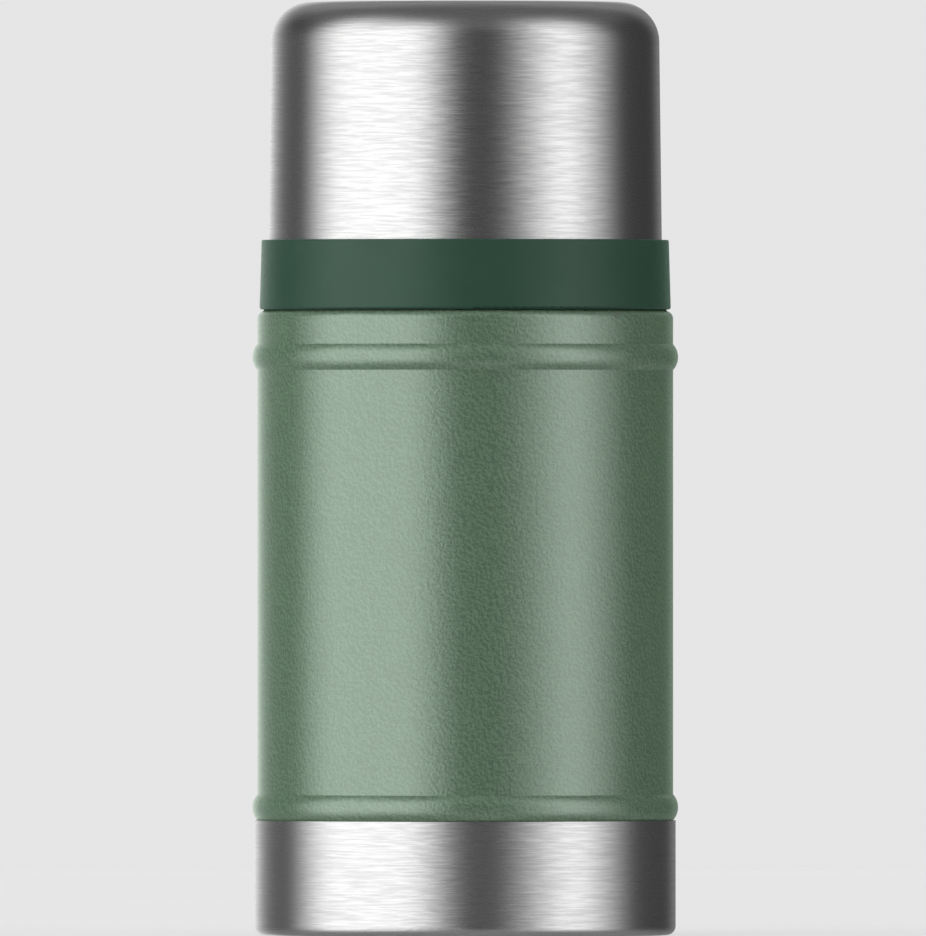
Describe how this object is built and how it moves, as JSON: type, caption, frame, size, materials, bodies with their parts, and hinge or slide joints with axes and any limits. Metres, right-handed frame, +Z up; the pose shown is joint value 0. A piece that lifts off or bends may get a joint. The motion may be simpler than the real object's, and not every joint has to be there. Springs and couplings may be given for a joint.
{
  "type": "insulated food jar",
  "caption": "Vacuum-insulated steel food jar with a screw stopper and a double-walled screw lid that serves as a bowl.",
  "frame": {"origin": "centre of the base cup's resting face", "axes": "+Z up along the axis that every piece is turned about; -Y is the front; +X to the right seen from the front"},
  "size_m": [0.1016, 0.1016, 0.2225],
  "materials": {
    "hammered_paint": "hammered green enamel, semi-gloss",
    "brushed_steel": "brushed round the axis",
    "satin_steel": "satin",
    "green_plastic": "fine matte",
    "black_plastic": "fine matte",
    "seal_rubber": "soft matte silicone",
    "white_foam": "expanded foam",
    "grey_foam": "closed-cell foam",
    "copper_foil": "bright copper foil",
    "getter_alloy": "sintered",
    "solder_glass": "fused opaque glass"
  },
  "bodies": {
    "vessel": {"outer_casing": "hammered_paint", "inner_vessel": "satin_steel", "casing_end_cap": "satin_steel", "vacuum_seal_bead": "solder_glass", "getter": "getter_alloy", "getter_clip": "satin_steel", "heat_shield_foil": "copper_foil", "base_cup": "brushed_steel", "base_pad": "grey_foam"},
    "stopper_ring": {"stopper_seal": "seal_rubber"},
    "stopper": {"stopper_body": "black_plastic", "stopper_insulation": "white_foam", "stopper_cover": "black_plastic"},
    "lid_ring": {"lid_seal": "seal_rubber"},
    "bowl_lid": {"lid_collar": "green_plastic", "lid_shell": "brushed_steel", "lid_liner": "satin_steel", "lid_insulation": "white_foam"}
  },
  "joints": [
    {"name": "stopper_rise", "type": "slide", "parent": "vessel", "child": "stopper_ring", "axis": [0, 0, 1], "range_m": [0, 0.0144]},
    {"name": "stopper_turn", "type": "hinge", "parent": "stopper_ring", "child": "stopper", "pos_m": [0, 0, 0.1625], "axis": [0, 0, 1], "range_deg": [0, 540]},
    {"name": "lid_rise", "type": "slide", "parent": "vessel", "child": "lid_ring", "axis": [0, 0, 1], "range_m": [0, 0.0144]},
    {"name": "lid_turn", "type": "hinge", "parent": "lid_ring", "child": "bowl_lid", "pos_m": [0, 0, 0.1489], "axis": [0, 0, 1], "range_deg": [0, 540]}
  ],
  "couplings": [
    {"joint": "stopper_rise", "follows": "stopper_turn", "m_per_rad": 0.0015278},
    {"joint": "lid_rise", "follows": "lid_turn", "m_per_rad": 0.0015278}
  ]
}
